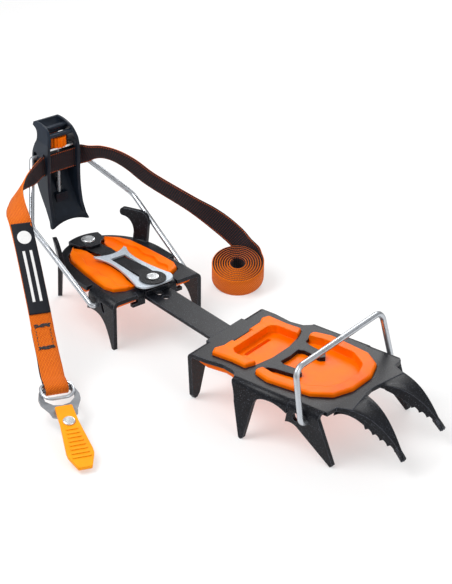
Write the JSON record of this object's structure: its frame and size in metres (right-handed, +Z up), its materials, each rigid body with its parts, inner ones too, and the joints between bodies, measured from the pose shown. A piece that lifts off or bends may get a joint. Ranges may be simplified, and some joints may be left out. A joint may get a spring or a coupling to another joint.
{
  "type": "twelve-point crampon",
  "caption": "Strap-on steel crampon in two frames joined by an adjusting bar, with anti-snow plates, toe bail, heel lever and strap.",
  "frame": {"origin": "on the sole plane (top of both steel frames), in the middle of the seat above the linking bar, 6 mm ahead of the rear edge of the front frame", "axes": "+X along the linking bar towards the toe, +Y to the wearer's left, +Z up out of the sole plane; the front frame is turned 13 degrees about Z"},
  "size_m": [0.3629, 0.2472, 0.1174],
  "materials": {
    "coated_steel": "satin",
    "blasted_steel": "satin",
    "spring_steel": "satin",
    "steel_wire": "polished",
    "zinc_steel": "satin",
    "orange_plastic": "satin",
    "lever_plastic": "satin",
    "wheel_plastic": "satin",
    "webbing": "woven",
    "label_fabric": "woven",
    "tab_rubber": "satin"
  },
  "bodies": {
    "front": {"front_frame": "coated_steel", "front_anti_snow_plate": "orange_plastic", "linking_bar": "coated_steel"},
    "toe_bail": {"toe_bail_wire": "steel_wire"},
    "heel": {"heel_frame": "coated_steel", "heel_anti_snow_plate": "orange_plastic", "spring_clamp": "blasted_steel", "rear_rivet": "steel_wire"},
    "size_lock": {"lock_leaf_spring": "spring_steel", "lock_plate": "blasted_steel", "lock_pin": "steel_wire"},
    "heel_bail": {"heel_bail_wire": "steel_wire"},
    "carriage": {"tension_carriage": "zinc_steel"},
    "lever": {"heel_lever": "lever_plastic", "bearing_strip": "steel_wire", "strap_webbing": "webbing", "label_patch": "label_fabric"},
    "adjuster": {"adjusting_rod": "zinc_steel", "thumbwheel": "wheel_plastic"},
    "buckle": {"buckle_plate": "zinc_steel", "pull_tab": "tab_rubber", "tab_rivet": "steel_wire"},
    "ring": {"buckle_ring": "steel_wire"}
  },
  "joints": [
    {"name": "toe_bail_hinge", "type": "hinge", "parent": "front", "child": "toe_bail", "pos_m": [0.09066, 0.02232, -0.0096], "axis": [-0.225, 0.9744, 0], "range_deg": [-40, 75]},
    {"name": "heel_length_slide", "type": "slide", "parent": "front", "child": "heel", "axis": [1, 0, 0], "range_m": [-0.03, 0.015]},
    {"name": "size_lock_lift", "type": "hinge", "parent": "heel", "child": "size_lock", "pos_m": [-0.161, 0, 0.0009], "axis": [0, -1, 0], "range_deg": [0, 2.5]},
    {"name": "heel_bail_hinge", "type": "hinge", "parent": "heel", "child": "heel_bail", "pos_m": [-0.0987, 0, -0.0096], "axis": [0, 1, 0], "range_deg": [-15, 40]},
    {"name": "lever_tilt", "type": "hinge", "parent": "heel_bail", "child": "carriage", "pos_m": [-0.2032, 0, 0.056], "axis": [0, 1, 0], "range_deg": [-60, 4]},
    {"name": "lever_travel", "type": "slide", "parent": "carriage", "child": "lever", "axis": [0, 0, 1], "range_m": [-0.00245, 0.00245]},
    {"name": "adjuster_turn", "type": "hinge", "parent": "lever", "child": "adjuster", "pos_m": [-0.196, 0, 0.068], "axis": [0, 0, 1], "range_deg": [-1260, 1260]},
    {"name": "buckle_tilt", "type": "hinge", "parent": "lever", "child": "buckle", "pos_m": [-0.03893, -0.11082, -0.02], "axis": [-0.3486, -0.9373, 0], "range_deg": [0, 18]},
    {"name": "ring_tilt", "type": "hinge", "parent": "buckle", "child": "ring", "pos_m": [-0.04197, -0.10969, -0.01728], "axis": [-0.3486, -0.9373, 0], "range_deg": [0, 38]}
  ],
  "couplings": [
    {"joint": "adjuster_turn", "follows": "lever_travel", "rad_per_m": 8976}
  ]
}
